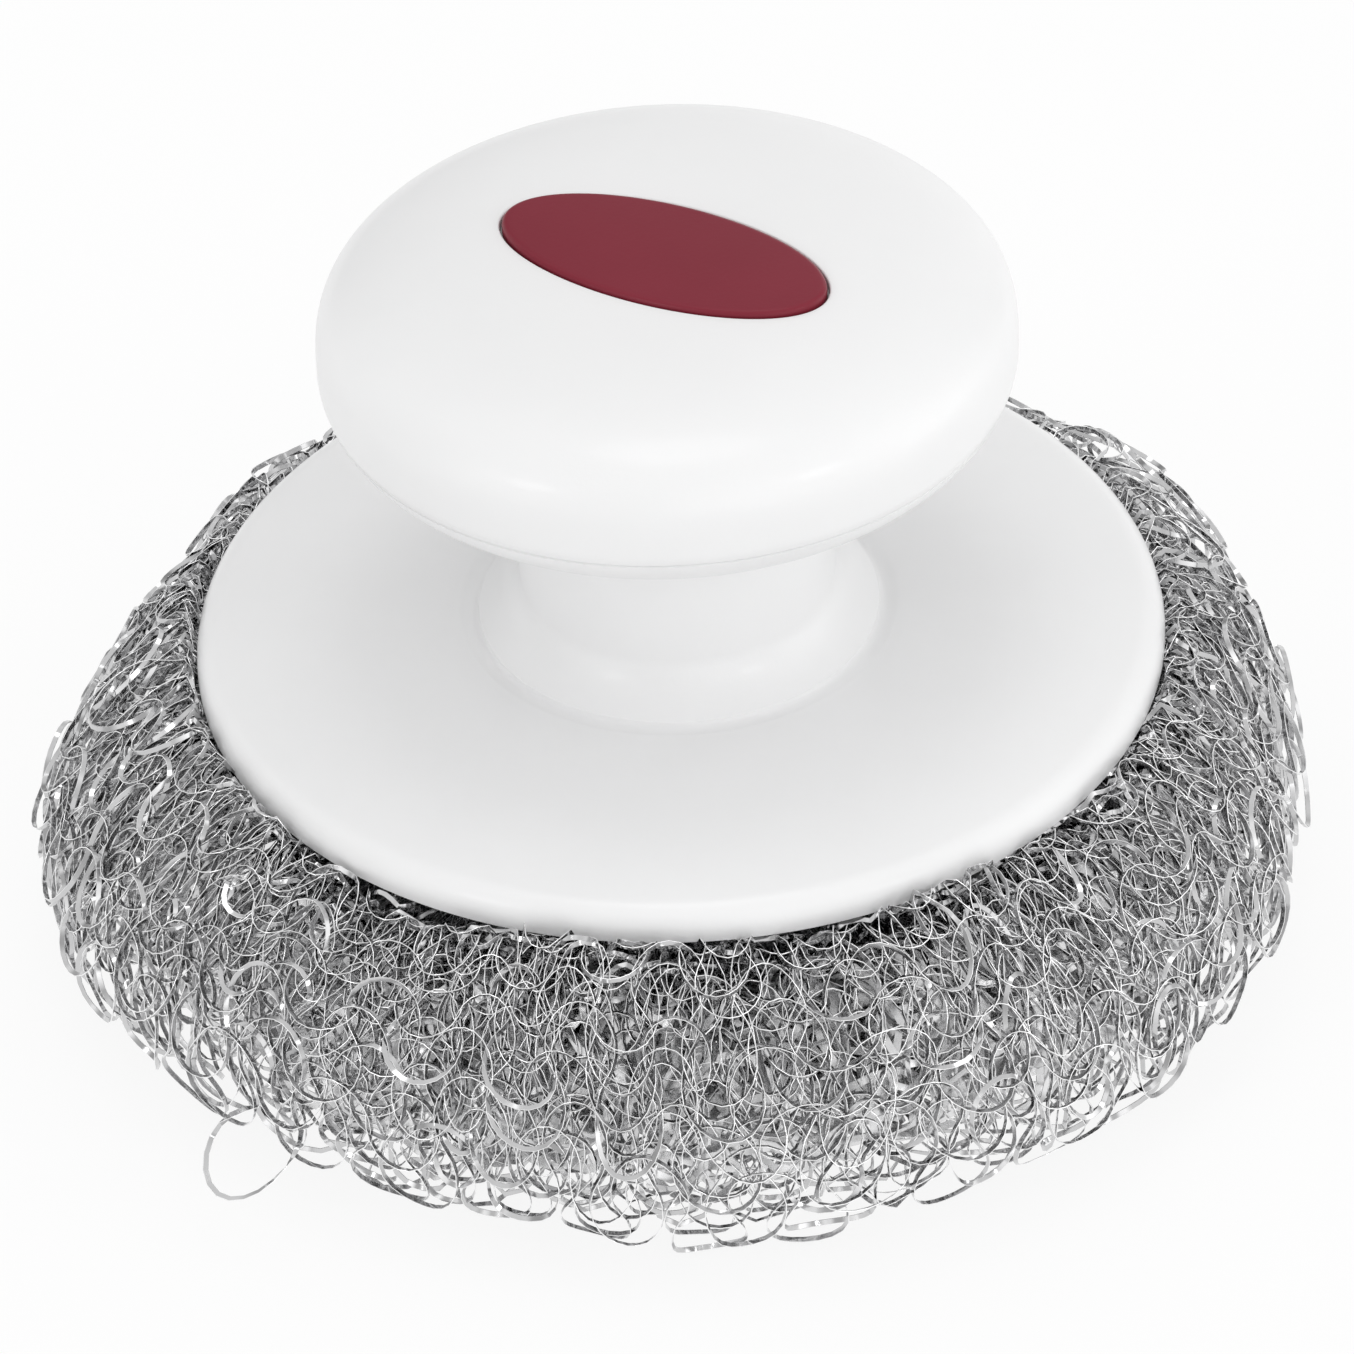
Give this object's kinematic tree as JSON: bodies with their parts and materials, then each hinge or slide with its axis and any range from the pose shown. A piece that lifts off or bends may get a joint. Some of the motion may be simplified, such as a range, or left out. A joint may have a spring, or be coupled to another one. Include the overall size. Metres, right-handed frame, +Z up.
{
  "type": "grill cleaning pad",
  "caption": "Palm scrubber with a white mushroom knob, a round guard flange and a springy doughnut pad of knitted flat steel wire.",
  "frame": {"origin": "on the table, under the middle of the pad", "axes": "+Z up along the knob's axis; the badge's near end points towards +X and -Y"},
  "size_m": [0.106, 0.106, 0.0613],
  "materials": {
    "white_plastic": "satin",
    "red_plastic": "satin",
    "steel_wire": "polished",
    "steel_fastener": "satin"
  },
  "bodies": {
    "pad": {"mesh_sleeve": "steel_wire", "mesh_core": "steel_wire"},
    "handle": {"knob_cap": "white_plastic", "badge_inlay": "red_plastic", "handle_body": "white_plastic", "clamp_disc": "white_plastic", "screw_washer": "steel_fastener", "clamp_screw": "steel_fastener"}
  },
  "joints": [
    {"name": "pad_press", "type": "slide", "parent": "pad", "child": "handle", "axis": [0, 0, -1], "range_m": [0, 0.006], "stiffness_N_per_m": 2500, "springref_m": -0.0006, "deforming": ["mesh_sleeve", "mesh_core"]}
  ]
}
